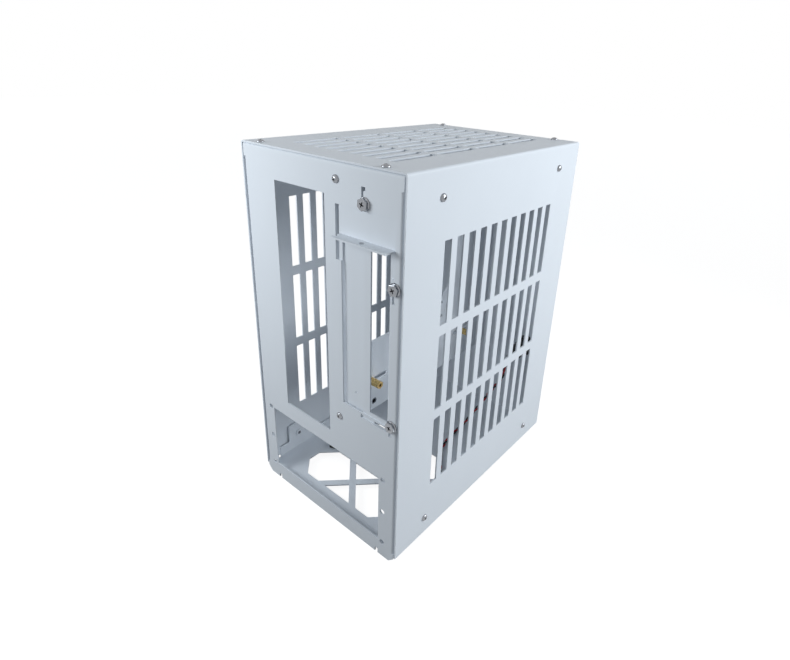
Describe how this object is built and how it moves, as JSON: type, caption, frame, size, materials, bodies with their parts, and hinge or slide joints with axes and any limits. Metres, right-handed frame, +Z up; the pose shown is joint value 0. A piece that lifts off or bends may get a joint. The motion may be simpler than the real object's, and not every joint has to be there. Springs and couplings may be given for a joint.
{
  "type": "mini-itx computer case",
  "caption": "Small upright white steel computer case with slotted side and top cover, power supply bay below, board tray in the middle and one open card slot.",
  "frame": {"origin": "centre of the base, at the lower edges of the end walls", "axes": "+Z up, -Y out of the I/O face, +X out of the side wall next to the graphics card"},
  "size_m": [0.1388, 0.2022, 0.2558],
  "materials": {
    "white_coat": "satin powder coat",
    "bright_steel": "bright nickel plate",
    "brass": "machined",
    "black_plastic": "matte",
    "black_rubber": "shrink sleeve",
    "lead": "pvc"
  },
  "bodies": {
    "case": {"cover": "white_coat", "chassis": "white_coat", "top_rail_left": "white_coat", "top_rail_right": "white_coat", "board_tray": "white_coat", "slot_plate": "white_coat", "slot_blank": "white_coat", "board_standoffs": "bright_steel", "riser_standoffs": "brass", "riser_nuts": "bright_steel", "cover_screws_left": "bright_steel", "cover_screws_right": "bright_steel", "top_screws": "bright_steel", "tray_screws": "bright_steel", "tray_front_screws": "bright_steel", "slot_plate_screws": "bright_steel", "switch_body": "black_plastic", "switch_washer": "bright_steel", "switch_nut": "black_plastic", "lead_sleeve": "black_rubber", "switch_lead": "lead", "lead_connector": "black_plastic", "lead_contacts": "brass"},
    "button": {"power_button": "black_plastic"}
  },
  "joints": [
    {"name": "button_press", "type": "slide", "parent": "case", "child": "button", "axis": [0, -1, 0], "range_m": [0, 0.0015], "stiffness_N_per_m": 900, "springref_m": -0.0005}
  ]
}
